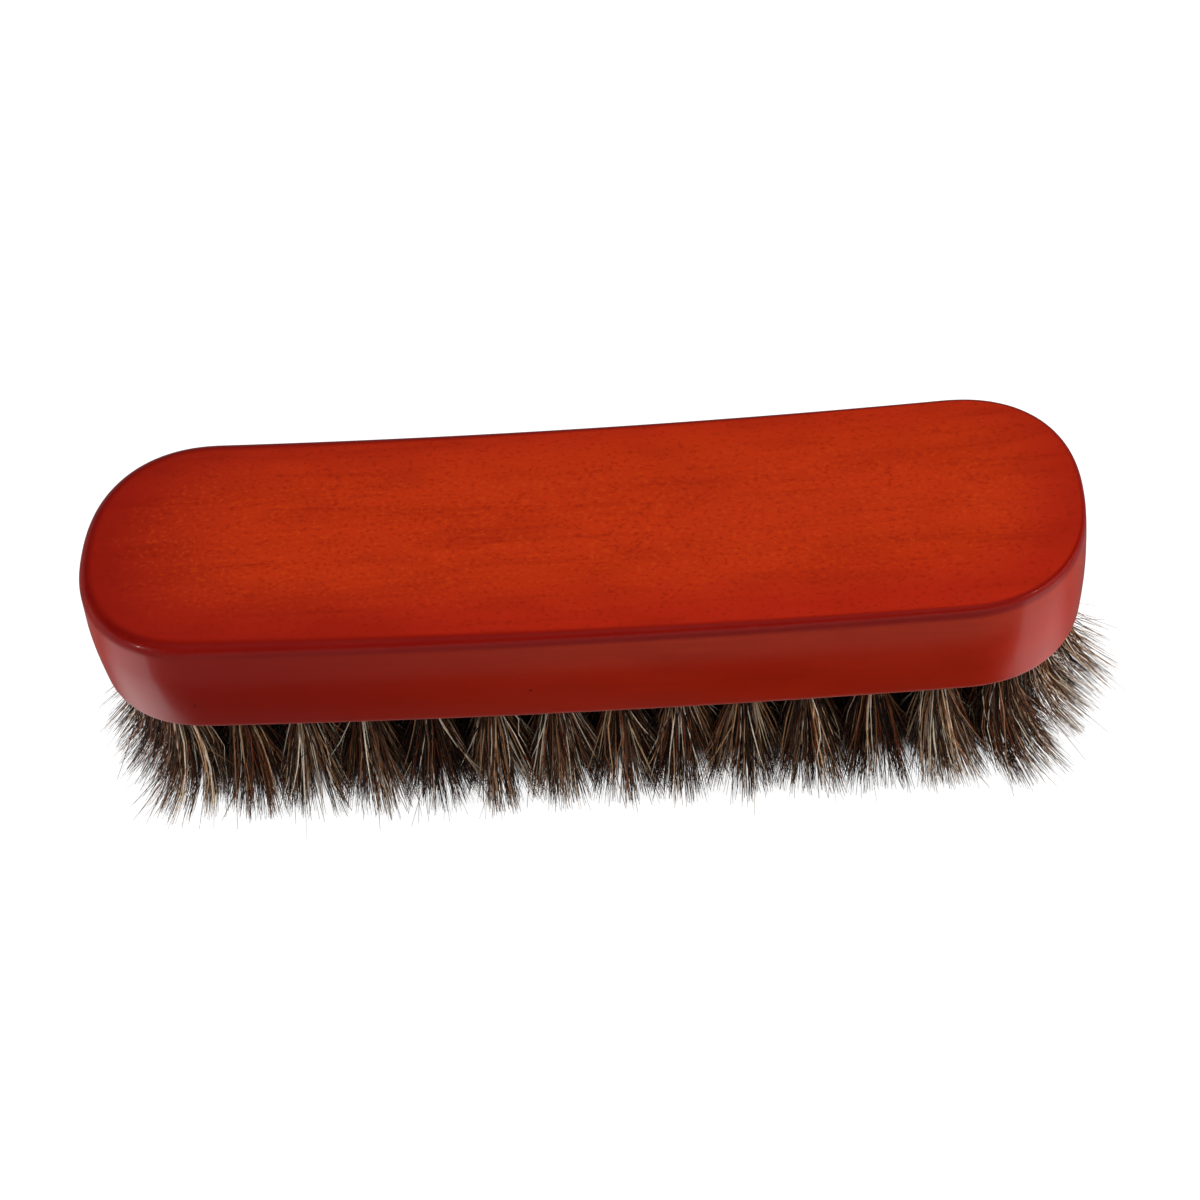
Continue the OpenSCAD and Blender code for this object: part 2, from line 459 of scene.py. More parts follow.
@dataclass(frozen=True)
class Lacquer:
    """Red stain and a thin lacquer over wood whose grain runs along X, with painted shade and painted
    reflections in its colour.

    A triple holds a noise's cells per metre, and a step says where a coat sets in.
    """

    shape: BlockShape
    centre: Colour = tint(194, 50, 12)
    rim: Colour = tint(180, 36, 12)
    # Dark red of the ends: stain at both ends, laid on more heavily at the left end as painted shade.
    ends: Colour = tint(144, 21, 11)
    # Dark red of the top edge's rounding: painted shade, darkest at the left tip.
    shaded_edge_tip: Colour = tint(106, 4, 1)
    shaded_edge_left: Colour = tint(120, 4, 0)
    shaded_edge_right: Colour = tint(124, 8, 1)
    side: Colour = tint(162, 30, 3)
    # Paler, browner top of the side: painted reflection of the lit floor beyond the brush.
    side_top_reflection: Colour = tint(158, 40, 16)
    # Darker red of the side's left part: painted shade, stopping short of the left tip.
    shaded_side_left: Colour = tint(132, 14, 2)
    dark_fibre: Colour = tint(132, 18, 3)
    light_fibre: Colour = tint(216, 76, 18)
    # Pale pink of the lower edge: painted reflection of the white floor.
    lower_edge_reflection: Colour = tint(166, 86, 78)
    pore: Colour = tint(40, 4, 2)
    fibre: Triple = (22.0, 420.0, 420.0)
    figure: Triple = (7.0, 60.0, 60.0)
    blotch: Triple = (60.0, 170.0, 170.0)
    grain: Triple = (1250.0, 1500.0, 1500.0)
    smear: Triple = (30.0, 60.0, 60.0)
    wave: Triple = (9.0, 30.0, 30.0)
    wave_y: float = 4 * MM
    wave_z: float = 3 * MM
    dark_fibres: Step = (0.5, 0.72, 0.0, 0.26)
    dark_blotches: Step = (0.4, 0.7, 0.0, 0.22)
    dark_specks: Step = (0.57, 0.66, 0.0, 0.36)
    light_specks: Step = (0.42, 0.33, 0.0, 0.3)
    light_middle: Step = (0.9, 0.35)
    side_specks: float = 0.3
    gloss: Step = (0.3, 0.7, 0.28, 0.34)
    wander: float = 0.5
    wander_ends: float = 0.3
    hem: Step = (0.35, 1.05)
    # The next three darken the top more to the front, over the left half and at the left end: painted
    # shade.
    front_shade_lean: float = 8.0
    top_shade_left_half: Step = (-0.1, 0.6, 0.0, 0.5)
    top_shade_left_end: Step = (0.55, 1.02, 0.0, 0.8)
    right_end: Step = (0.8, 1.05, 0.0, 0.25)
    # Where the side's painted reflection at its top gives way to its own red.
    side_reflection_fade: Step = (0.18, 0.5)
    wall_wander: float = 0.2
    # Where the side's painted shade at the left sets in, and where it stops before the tip.
    side_shade_reach: Step = (0.2, -0.85)
    side_shade_cutoff: Step = (-0.99, -0.9)
    # Where the edge's painted shade changes colour along the block, and how far in it reaches.
    shaded_edge_turn: Step = (-0.8, 0.6)
    shaded_edge_tip_turn: Step = (-0.76, -0.9)
    shaded_edge_narrowing: float = 0.5
    shaded_edge_inset: Step = (2.2 * MM, 1.0 * MM)
    side_drop: Step = (1.4 * MM, 2.6 * MM)
    # Where the lower edge's painted reflection lies, and how much of it along the block.
    lower_reflection_drop: Step = (18.3 * MM, 19.2 * MM)
    lower_reflection_rim: Step = (0.93, 0.97)
    lower_reflection_share: Step = (-0.5, 0.4, 0.5, 1.0)
    pit: Step = (0.42 * MM, 0.126 * MM, 0.0, 0.8)
    pits: tuple[Triple, ...] = (
        (-64.9 * MM, -25.2 * MM, 32.0 * MM),
        (-8.3 * MM, -25.3 * MM, 31.7 * MM),
    )

    def material(self) -> Material:
        """The finish as a material.

        Returns:
            A material that reads the block's own coordinates.
        """
        bench = Bench(bpy.data.materials.new(Slot.WOOD.value))
        place = bench.place()
        x, y, z = bench.split(place)
        wave = bench.noise(place, self.wave) - 0.5
        bent = bench.node("CombineXYZ", {0: x, 1: y + wave * self.wave_y, 2: z + wave * self.wave_z})
        fibre = bench.noise(bent, self.fibre, Detail=6.0, Roughness=0.62)
        figure = bench.noise(bent, self.figure, Detail=3.0)
        blotch = bench.noise(bent, self.blotch, Detail=3.0)
        grain = bench.noise(bent, self.grain)
        drop = self.shape.top_z + self.shape.bow_at(x) - z
        spread = self.shape.spread(x, y, self.shape.end_power)
        face = drop.ramp(*self.side_drop[::-1])
        specks = grain.ramp(*self.dark_specks) * (self.side_specks + (1 - self.side_specks) * face)
        colour = bench.coats(
            self._side(bench, self._top(bench, x, y, spread, figure), x, spread, drop, figure),
            (fibre.ramp(*self.dark_fibres), self.dark_fibre),
            (blotch.ramp(*self.dark_blotches), self.dark_fibre),
            (specks, self.dark_fibre),
            (grain.ramp(*self.light_specks) * face * spread.ramp(*self.light_middle), self.light_fibre),
            *((self._pit(bench, place, pit), self.pore) for pit in self.pits),
        )
        smear = bench.noise(place, self.smear, Detail=3.0)
        return bench.surface({
            "Base Color": colour,
            "Roughness": smear.ramp(*self.gloss),
            "Coat Weight": 0.3,
            "Coat Roughness": 0.06,
            "Normal": bench.node("Bump", {"Strength": 0.05, "Distance": 0.2 * MM, "Height": fibre}),
        })

    def _top(self, bench: Bench, x: Sock, y: Sock, spread: Sock, figure: Sock) -> Sock:
        """The top's colour: orange in the middle and at the back, redder to the rim and the ends by its
        stain, and darker to the front and the left end by painted shade.
        """
        wander = (figure - 0.5) * self.wander
        # Darker rim: stain, and painted shade where it reaches further to the front.
        hem = (spread + wander - self.front_shade_lean * y).ramp(*self.hem)
        along = x / self.shape.half_l
        left = wander * self.wander_ends - along
        right = wander * self.wander_ends + along
        return bench.coats(
            self.centre,
            (hem, self.rim),
            # Painted shade over the left half and the left end.
            (hem * left.ramp(*self.top_shade_left_half), self.ends),
            (left.ramp(*self.top_shade_left_end) + right.ramp(*self.right_end), self.ends),
        )

    def _side(self, bench: Bench, colour: Sock, x: Sock, spread: Sock, drop: Sock, figure: Sock) -> Sock:
        """The colour at the edge and below.

        A dark red edge of painted shade on the top's rounding, wider at the left; then the side, paler at
        its top by a painted reflection and darker at the left by painted shade; and a pale line on the
        lower edge, which is a painted reflection of the floor.
        """
        along = x / self.shape.half_l
        fade = drop / self.shape.thickness + (figure - 0.5) * self.wall_wander
        # Painted reflection on the lower edge.
        lower_edge_reflection = drop.ramp(*self.lower_reflection_drop) * spread.ramp(*self.lower_reflection_rim)
        wall = bench.coats(
            # Painted reflection at the top of the side.
            self.side_top_reflection,
            (fade.ramp(*self.side_reflection_fade), self.side),
            # Painted shade over the side's left part.
            (along.ramp(*self.side_shade_reach) * along.ramp(*self.side_shade_cutoff), self.shaded_side_left),
            # Painted reflection on the lower edge, stronger to the right.
            (lower_edge_reflection * along.ramp(*self.lower_reflection_share), self.lower_edge_reflection),
        )
        # Painted shade on the top edge's rounding, wider at the left.
        inset = (1 - spread) * self.shape.half_w / (1 - self.shaded_edge_narrowing * along)
        right = (along.ramp(*self.shaded_edge_turn), self.shaded_edge_right)
        tip = (along.ramp(*self.shaded_edge_tip_turn), self.shaded_edge_tip)
        shaded_edge = (inset.ramp(*self.shaded_edge_inset), bench.coats(self.shaded_edge_left, right, tip))
        return bench.coats(colour, shaded_edge, (drop.ramp(*self.side_drop), wall))

    def _pit(self, bench: Bench, place: Sock, middle: Triple) -> Sock:
        """How deep a point lies in the small dark pit round this middle."""
        gap = bench.node("VectorMath", {0: place, 1: middle}, output="Value", operation="DISTANCE")
        return gap.ramp(*self.pit)


@dataclass(frozen=True)
class HairFinish:
    """Natural horsehair of mixed colours, darkened at the root by painted shade, with a dry gloss."""

    black: Colour = tint(24, 15, 11)
    dark: Colour = tint(50, 33, 24)
    brown: Colour = tint(92, 62, 44)
    tan: Colour = tint(164, 118, 82)
    blonde: Colour = tint(214, 180, 140)
    grey: Colour = tint(224, 210, 190)
    chestnut: Colour = tint(130, 60, 28)
    tones: tuple[float, ...] = (0.0, 0.4, 0.63, 0.8, 0.95, 1.0)
    fleck: Triple = (700.0, 700.0, 1500.0)
    chestnut_hairs: Step = (0.8, 0.94, 0.0, 0.6)
    dark_flecks: Step = (0.5, 0.7, 0.0, 0.25)
    # Darkening near the root: painted shade under the block.
    root_shade: Step = (0.4, 0.05, 0.0, 0.5)
    gloss: Step = (0.35, 0.65, 0.26, 0.5)

    def material(self) -> Material:
        """The finish as a material.

        Returns:
            A material that reads the numbers each hair carries: its tone, warmth and run.
        """
        bench = Bench(bpy.data.materials.new(Slot.HAIR.value))
        tone, warmth, run = (bench.attribute(name) for name in ("tone", "warmth", "run"))
        shades = (self.black, self.dark, self.brown, self.tan, self.blonde, self.grey)
        flecks = bench.noise(bench.place(), self.fleck)
        colour = bench.coats(
            bench.gradient(tone, self.tones, shades),
            (warmth.ramp(*self.chestnut_hairs), self.chestnut),
            (flecks.ramp(*self.dark_flecks), self.black),
            # Painted shade near the root.
            (run.ramp(*self.root_shade), self.black),
        )
        gloss = flecks.ramp(*self.gloss)
        return bench.surface({"Base Color": colour, "Roughness": gloss, "Specular IOR Level": 0.42})


@dataclass(frozen=True)
class DrawnWire:
    """Flat steel wire with the fine lines that drawing leaves."""

    bright: Colour = tint(176, 172, 166)
    dull: Colour = tint(122, 118, 112)
    line: Triple = (4000.0, 200.0, 4000.0)
    shine: Step = (0.3, 0.7)
    gloss: Step = (0.3, 0.7, 0.28, 0.45)

    def material(self) -> Material:
        """The finish as a material with lines across the brush."""
        bench = Bench(bpy.data.materials.new(Slot.ANCHOR.value))
        lines = bench.noise(bench.place(), self.line, Detail=3.0)
        colour = bench.coats(self.dull, (lines.ramp(*self.shine), self.bright))
        return bench.surface({"Base Color": colour, "Metallic": 1.0, "Roughness": lines.ramp(*self.gloss)})


@dataclass
class Block:
    """The wooden block."""

    shape: BlockShape
    arc_steps: int = 44
    side_steps: int = 60
    cap_rings: int = 8
    round_steps: int = 8
    wall_steps: int = 14
    cutter_sides: int = 32
    sanded_rounds: float = 4.0
    sharp_angle: float = 38.0
    merge_gap: float = 1e-6

    def around(self) -> tuple[Array, ...]:
        """The outline as three numbers a point.

        A point of the outline drawn in by d is base + (end_length - d) * run in x and
        (half_w - d) * rise in y. In the ends run and rise are the cosine and the sine to the power
        2 / end_power; along the sides run is 0 and rise is 1 or -1.

        Returns:
            Base, run and rise, counterclockwise from the right end.
        """
        turn = np.linspace(0, np.pi / 2, self.arc_steps + 1)
        power = 2 / self.shape.end_power
        run = np.cos(turn).clip(0) ** power
        rise = np.sin(turn) ** power
        side = np.linspace(1, -1, self.side_steps + 1)[1:-1] * self.shape.straight
        flat = np.zeros_like(side)
        full = np.full_like(run, self.shape.straight)
        base_half = np.concatenate([full, side, -full])
        run_half = np.concatenate([run, flat, -run[::-1]])
        rise_half = np.concatenate([rise, flat + 1, rise[::-1]])
        halves = ((base_half, 1), (run_half, 1), (rise_half, -1))
        return tuple(np.concatenate([half, sign * half[-2:0:-1]]) for half, sign in halves)

    def wall(self) -> tuple[Array, Array]:
        """The wall from the top face to the underside.

        A quarter round of the top radius, a side that swells by a half sine, and a quarter round of
        the bottom radius.

        Returns:
            The inset from the outline and the drop below the top face.
        """
        shape = self.shape
        turn = np.linspace(0, np.pi / 2, self.round_steps + 1)
        swell = np.linspace(0, 1, self.wall_steps + 1)[1:-1]
        side = shape.thickness - shape.top_round - shape.bottom_round
        inset = np.concatenate([
            shape.top_round * (1 - np.sin(turn)),
            -shape.belly * np.sin(np.pi * swell),
            shape.bottom_round * (1 - np.cos(turn)),
        ])
        drop = np.concatenate([
            shape.top_round * (1 - np.cos(turn)),
            shape.top_round + side * swell,
            shape.thickness - shape.bottom_round * (1 - np.sin(turn)),
        ])
        return inset, drop

    def body(self) -> Object:
        """The undrilled block.

        The wall is carried round the outline, each face is closed by rings that shrink to the middle
        line, and every point rises by the bow at its x. The top's rounding is wider at the left end
        than at the right one, as hand sanding leaves it.

        Returns:
            The block as one closed surface.
        """
        shape = self.shape
        base, run, rise = self.around()
        inset, drop = self.wall()
        share = np.linspace(0, 1, self.cap_rings + 1)[:-1]
        scale = np.concatenate([share, np.ones_like(inset), share[::-1]])[:, None]
        top = np.full_like(share, inset[0])
        inset = np.concatenate([top, inset, top * inset[-1] / inset[0]])[:, None]
        drop = np.concatenate([0 * share, drop, 0 * share + shape.thickness])[:, None]
        outer_x = base + shape.end_length * run
        sanded = 1 - shape.round_fade * outer_x / shape.half_l
        near_top = 1 - (drop - shape.top_round) / (self.sanded_rounds * shape.top_round)
        near_top = near_top.clip(0, 1)
        inset = inset * (1 + (sanded - 1) * (inset > 0) * near_top)
        drop = drop * (1 + (sanded - 1) * near_top * (drop < shape.thickness / 2))
        x = base + scale * (shape.end_length - inset) * run
        y = scale * (shape.half_w - inset) * rise
        z = shape.top_z - drop + shape.bow_at(x)
        points = np.stack([x, y, z], axis=-1)
        made = mesh_object("block_body", points, [grid_faces(len(scale), len(base))])
        tidy_mesh(made, self.merge_gap)
        return made

    def cutters(self) -> Object:
        """One cylinder for each hole, along the hole's lean, from below the block to its bottom."""
        shape = self.shape
        holes = np.concatenate(shape.cross_rows())
        lean = shape.lean(holes)
        axis = np.stack([-lean[:, 0], -lean[:, 1], np.ones(len(holes))], axis=1)
        axis /= np.linalg.norm(axis, axis=1, keepdims=True)
        first = np.cross(np.array([0.0, 1.0, 0.0]), axis)
        first /= np.linalg.norm(first, axis=1, keepdims=True)
        second = np.cross(axis, first)
        mouth = np.column_stack([holes, shape.under_z + shape.bow_at(holes[:, 0])])
        ring = circle(self.cutter_sides)
        ring = ring[:, :1] * first[:, None] + ring[:, 1:] * second[:, None]
        radius = shape.hole_d / 2
        depth = np.array([-radius, shape.hole_depth])
        points = mouth[:, None, None] + depth[:, None, None] * axis[:, None, None] + radius * ring[:, None]
        faces = tube_faces(len(holes), len(depth), self.cutter_sides, rising=True)
        return mesh_object("hole_cutters", points, faces)

    def build(self, finish: Lacquer) -> Object:
        """Drills the block and dresses it.

        Args:
            finish: The lacquer.

        Returns:
            The finished block.
        """
        body = self.body()
        cutters = self.cutters()
        drill = body.modifiers.new("drill", "BOOLEAN")
        drill.operation = "DIFFERENCE"
        drill.solver = "MANIFOLD"
        drill.object = cutters
        graph = bpy.context.evaluated_depsgraph_get()
        mesh = bpy.data.meshes.new_from_object(body.evaluated_get(graph))
        mesh.name = "lacquered_block"
        made = place_object(mesh.name, mesh)
        for spare in (body, cutters):
            bpy.data.objects.remove(spare)
        mesh.shade_smooth()
        mesh.set_sharp_from_angle(angle=math.radians(self.sharp_angle))
        mesh.materials.clear()
        mesh.materials.append(finish.material())
        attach(made, BODY)
        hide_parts("block")
        return made


@dataclass(frozen=True)
class Scatter:
    """How the hairs of a tuft differ.

    A span goes from the least to the most. Of loose and bend it holds a plain hair's deviation and a
    stray one's, and of tone the mean and the deviation.
    """

    root: Span = (0.02, 1.0)
    root_shift: float = 0.35 * MM
    turn: float = 0.3
    far: Span = (0.75, 1.2)
    far_power: float = 0.65
    loose: Span = (0.7 * MM, 1.7 * MM)
    bend: Span = (0.42 * MM, 1.1 * MM)
    half_waves: Span = (0.8, 1.7)
    flare: Span = (0.9, 1.5)
    clump_short: float = 1.3 * MM
    hair_short: float = 1.6 * MM
    dome_radius: float = 45 * MM
    under_share: float = 0.06
    under_short: Span = (2 * MM, 9 * MM)
    stray_share: float = 0.07
    stray_far: float = 1.2
    tone: Span = (0.37, 0.34)
    tone_clump: float = 0.2
    tone_tuft: float = 0.09
    tone_end: float = 0.1
    # A darker tone for the tufts of the middle rows: painted shade under the block.
    inner_shade_tone: float = -0.16
    inner: float = 0.7
    stout: Span = (0.75, 1.3)
    stout_dark: float = 0.7
    stout_gain: float = 0.45


@dataclass
class Tufts:
    """The tufts: bundles of single hairs, one piece for each row across the block."""

    shape: BlockShape
    scatter: Scatter = Scatter()
    hairs: int = 620
    clumps: int = 80
    rings: int = 6
    sides: int = 3
    root_width: float = 0.25 * MM
    tip_width: float = 0.07 * MM
    taper: float = 2.4
    twist: float = 2.4
    root_radius: float = 1.8 * MM
    root_rise: float = 2.0 * MM
    stub: float = 0.6 * MM
    reach: float = 7.8 * MM
    tuck: float = 3.5 * MM
    tip_tuck: float = 0.3
    push_left: Span = (-1.2 * MM, 0.08)
    push_right: Span = (0.6 * MM, 0.1)
    forward: float = 3.0 * MM
    tuck_from: float = 55 * MM
    plug_radius: float = 2.3 * MM
    plug_low: float = 0.8 * MM
    plug_high: float = 10.8 * MM
    plug_sides: int = 20
    plug_rings: int = 7
    hair_map: float = 0.9
    seed: int = 11

    def paths(self, holes: Array, chance: np.random.Generator) -> dict[str, Array]:
        """The middle lines of a row's hairs.

        Each hair runs down along the hole's lean and flares from its place in the root disc to its
        place at the tip by a power of its run. Hairs belong to clumps, whose tips lie together, and
        further out by a power of the root's distance. A small sine wave bends each hair. Tips are cut
        at the floor or end short of it.

        Args:
            holes: The x and y of the row's holes.
            chance: The source of random numbers.

        Returns:
            The points by tuft, hair and ring, and the numbers that the hairs carry.
        """
        odds = self.scatter
        locks = (len(holes), self.clumps)
        each = (len(holes), self.hairs)
        mouth_z = (self.shape.under_z + self.shape.bow_at(holes[:, 0]))[:, None]
        lean = self.shape.lean(holes)

        clump_turn = chance.uniform(0, 2 * np.pi, locks)
        clump_root = self.root_radius * np.sqrt(chance.uniform(*odds.root, locks))
        tip_turn = clump_turn + chance.normal(0, odds.turn, locks)
        tip_far = self.reach * (clump_root / self.root_radius) ** odds.far_power
        tip_far = tip_far * chance.uniform(*odds.far, locks)
        clump_short = np.abs(chance.normal(0, odds.clump_short, locks))
        tuft_tone = chance.normal(0, odds.tone_tuft, (len(holes), 1))
        # Tufts of the middle rows are darker, which is painted shade; those at the ends are lighter.
        inner = np.abs(holes[:, 1:]) < odds.inner * self.shape.outer_y
        end = np.abs(holes[:, :1]) > self.tuck_from
        tuft_tone = tuft_tone + np.where(end, odds.tone_end, np.where(inner, odds.inner_shade_tone, 0.0))
        clump_tone = chance.normal(0, odds.tone_clump, locks) + tuft_tone

        pick = (np.arange(len(holes))[:, None], chance.integers(0, self.clumps, each))
        stray = chance.uniform(0, 1, each) < odds.stray_share
        root = disc(clump_turn[pick], clump_root[pick])
        root = root + chance.normal(0, odds.root_shift, root.shape)
        far = np.linalg.norm(root, axis=-1, keepdims=True)
        root = root * np.minimum(1, self.root_radius / np.maximum(far, 1e-9))
        tip = disc(tip_turn[pick], tip_far[pick])
        loose, bend = (np.where(stray, most, least)[..., None] for least, most in (odds.loose, odds.bend))
        tip = tip + chance.normal(0, 1, tip.shape) * loose
        tip = tip * np.where(stray, odds.stray_far, 1.0)[..., None]

        under = chance.uniform(0, 1, each) < odds.under_share
        short = clump_short[pick] + chance.exponential(odds.hair_short, each)
        short = short + np.sum(tip**2, axis=-1) / odds.dome_radius
        short = short + under * chance.uniform(*odds.under_short, each)
        tip_z = np.maximum(0, mouth_z - self.shape.hair_length + short)

        run = np.linspace(0, 1, self.rings)
        start_z = mouth_z + self.root_rise
        z = start_z[..., None] + (tip_z - start_z)[..., None] * run
        down = mouth_z[..., None] - z
        last = down[..., -1:]
        flare = chance.uniform(*odds.flare, (*each, 1))
        spread = np.clip((down - self.stub) / (last - self.stub), 0, 1) ** flare
        side = root[:, :, None] + (tip - root)[:, :, None] * spread[..., None]
        bend = chance.normal(0, 1, (*each, 1, 2)) * bend[..., None]
        waves = np.sin(np.pi * spread * chance.uniform(*odds.half_waves, (*each, 1)))
        side = side + bend * waves[..., None]
        flat = holes[:, None, None] + lean[:, None, None] * down[..., None] + side
        flat = flat + self._comb(holes, spread)
        tone = (clump_tone[pick] + chance.normal(*odds.tone, each)).clip(0, 1)
        warmth = chance.uniform(0, 1, each)
        stout = (odds.stout_dark + odds.stout_gain * tone) * chance.uniform(*odds.stout, each)
        return {
            "points": raised(flat, z),
            "tone": tone[..., None],
            "warmth": warmth[..., None],
            "stout": stout,
            "run": run,
        }

    def _comb(self, holes: Array, spread: Array) -> Array:
        """How far use has combed the hairs near the ends out of their places.

        They bow inwards at half of their length, by a parabola. Their tips lie forward, and further
        out at the front than at the back and at the right end than at the left one.

        Args:
            holes: The x and y of the row's holes.
            spread: For each hair's rings the run from 0 at the root to 1 at the tip.

        Returns:
            The shift in x and y of each ring.
        """
        x, y = (holes[:, axis, None, None] for axis in (0, 1))
        far = ((np.abs(x) - self.tuck_from) / (self.shape.end_x - self.tuck_from)).clip(0, 1)
        even, slant = (np.where(x < 0, *pair) for pair in zip(self.push_left, self.push_right))
        push = even - slant * y
        outward = push * spread - self.tuck * (4 * spread * (1 - spread) + self.tip_tuck * spread)
        return np.stack([np.sign(x) * far * outward, -self.forward * far * spread], axis=-1)

    def hair_mesh(self, paths: dict[str, Array]) -> tuple[Array, list[Array]]:
        """Tubes of few sides along the hairs, on level rings that taper by a power of the run.

        Args:
            paths: What paths() returns.

        Returns:
            The points, and the faces of the walls and of the caps.
        """
        middle = paths["points"].reshape(-1, self.rings, 3)
        count = len(middle)
        turn = np.arange(self.sides) * 2 * np.pi / self.sides
        twist = (np.arange(count) * self.twist)[:, None] + turn
        taper = np.linspace(0, 1, self.rings) ** self.taper
        width = self.root_width + (self.tip_width - self.root_width) * taper
        width = width * paths["stout"].reshape(-1, 1)
        ring = np.stack([np.cos(twist), np.sin(twist), np.zeros_like(twist)], axis=-1)
        points = middle[:, :, None] + ring[:, None] * (width / 2)[..., None, None]
        return points.reshape(-1, 3), tube_faces(count, self.rings, self.sides)

    def plug_mesh(self, holes: Array) -> tuple[Array, list[Array]]:
        """The tight bundle inside each hole, closed and with a domed top where the hair is folded.

        Its radius is constant up to the dome, which is a quarter circle.

        Args:
            holes: The x and y of the row's holes.

        Returns:
            The points, and the faces of the walls and of the caps.
        """
        dome = np.linspace(0, np.pi / 2, self.plug_rings)[:-1]
        rise = self.plug_high - self.plug_radius
        radius = np.concatenate([[1.0], np.cos(dome)]) * self.plug_radius
        height = np.concatenate([[self.plug_low], rise + self.plug_radius * np.sin(dome)])
        ring = circle(self.plug_sides)
        lean = self.shape.lean(holes)[:, None, None]
        flat = holes[:, None, None] + radius[:, None, None] * ring - lean * height[:, None, None]
        mouth_z = self.shape.under_z + self.shape.bow_at(holes[:, 0])
        points = raised(flat, (mouth_z[:, None] + height)[..., None])
        faces = tube_faces(len(holes), self.plug_rings, self.plug_sides, rising=True)
        return points.reshape(-1, 3), faces

    def build_row(self, number: int, holes: Array, material: Material) -> Object:
        """One row's tufts as a dressed piece.

        Args:
            number: The row's number, from 1 at the left end.
            holes: The x and y of its holes.
            material: The horsehair.

        Returns:
            The piece.
        """
        chance = np.random.default_rng([self.seed, number])
        paths = self.paths(holes, chance)
        points, faces = self.hair_mesh(paths)
        plugs, plug_faces = self.plug_mesh(holes)
        every = np.concatenate([points, plugs])
        faces = faces + [face + len(points) for face in plug_faces]
        made = mesh_object(f"horsehair_row_{number:02d}", every, faces)
        self._carry(made, paths, len(plugs))
        self._chart(made, len(holes))
        made.data.materials.append(material)
        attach(made, BODY)
        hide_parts(f"tuft_row_{number:02d}")
        return made

    def _carry(self, made: Object, paths: dict[str, Array], spare: int) -> None:
        """Puts each hair's tone, warmth and run on its points; the plugs get plain dark values."""
        shape = (*paths["points"].shape[:-1], self.sides)
        for name in ("tone", "warmth", "run"):
            value = np.broadcast_to(paths[name][..., None], shape)
            full = np.concatenate([value.ravel(), np.zeros(spare)])
            made.data.attributes.new(name, "FLOAT", "POINT").data.foreach_set("value", full)

    def _chart(self, made: Object, tufts: int) -> None:
        """Lays the faces out flat for a picture of their colours.

        Each hair has a cell of a square grid, with its sides across and its run up, and its two caps
        in the cell's margins. The plugs lie in a strip above, their walls as boxes and their lids as
        circles.

        Args:
            made: The piece.
            tufts: Its number of tufts.
        """
        count = tufts * self.hairs
        across = math.ceil(math.sqrt(count))
        cell = np.stack(np.divmod(np.arange(count), across)[::-1], axis=-1)
        walls = self._cells(self.rings, self.sides) * [0.92, 0.86] + [0.04, 0.07]
        low_cap = cell[:, None] + np.array([[0.1, 0.0], [0.9, 0.0], [0.5, 0.05]])
        hair_walls = (cell[:, None, None] + walls) / across
        hair_caps = np.concatenate([low_cap, low_cap + [0.0, 0.95]]) / across
        shrink = np.array([1.0, self.hair_map])
        box = self._cells(self.plug_rings, self.plug_sides)[:, ::-1] * [0.9, 0.45] + [0.05, 0.02]
        spot = np.arange(tufts)[:, None, None]
        strip = (1 - self.hair_map) * 0.98
        lid = circle(self.plug_sides) * [0.2, 0.22]
        side_by_side = np.array([1 / tufts, strip])
        plug_walls = (box[None] + spot[..., None] * [1, 0]) * side_by_side
        lids = [lid + spot * [1, 0] + [centre, 0.75] for centre in (0.25, 0.75)]
        plug_lids = np.concatenate(lids) * side_by_side
        above = np.array([0.0, self.hair_map + 0.01])
        parts = [hair_walls * shrink, hair_caps * shrink, plug_walls + above, plug_lids + above]
        flat = np.concatenate([part.reshape(-1, 2) for part in parts])
        made.data.uv_layers.new(name="OFBake").uv.foreach_set("vector", flat.ravel().astype(np.float32))

    @staticmethod
    def _cells(rings: int, count: int) -> Array:
        """Corners in the unit square of grid_faces' faces, one column a point of the ring."""
        ring, spot = np.meshgrid(np.arange(rings - 1), np.arange(count), indexing="ij")
        across = np.stack([spot, spot, spot + 1, spot + 1], axis=-1) / count
        along = np.stack([ring, ring + 1, ring + 1, ring], axis=-1) / (rings - 1)
        return np.stack([across, along], axis=-1).reshape(-1, 4, 2)

    def build(self, finish: HairFinish) -> list[Object]:
        """Every row of tufts, from the left end to the right one."""
        material = finish.material()
        rows = enumerate(self.shape.cross_rows(), start=1)
        return [self.build_row(number, holes, material) for number, holes in rows]


@dataclass
class Anchors:
    """The wire anchors, whose solids stay and get their finish."""

    nodes: dict[str, Object]

    def dress(self, finish: DrawnWire) -> list[Object]:
        """Gives every anchor row the wire's material."""
        material = finish.material()
        rows = [made for name, made in sorted(self.nodes.items()) if name.startswith("anchor_row_")]
        for row in rows:
            row.data.materials.clear()
            row.data.materials.append(material)
        return rows


@dataclass(frozen=True)
class Lamp:
    """A square soft box: its size in metres, its power in watts and whether the gloss mirrors it."""

    name: str
    place: Triple
    size: float
    power: float
    mirrored: bool


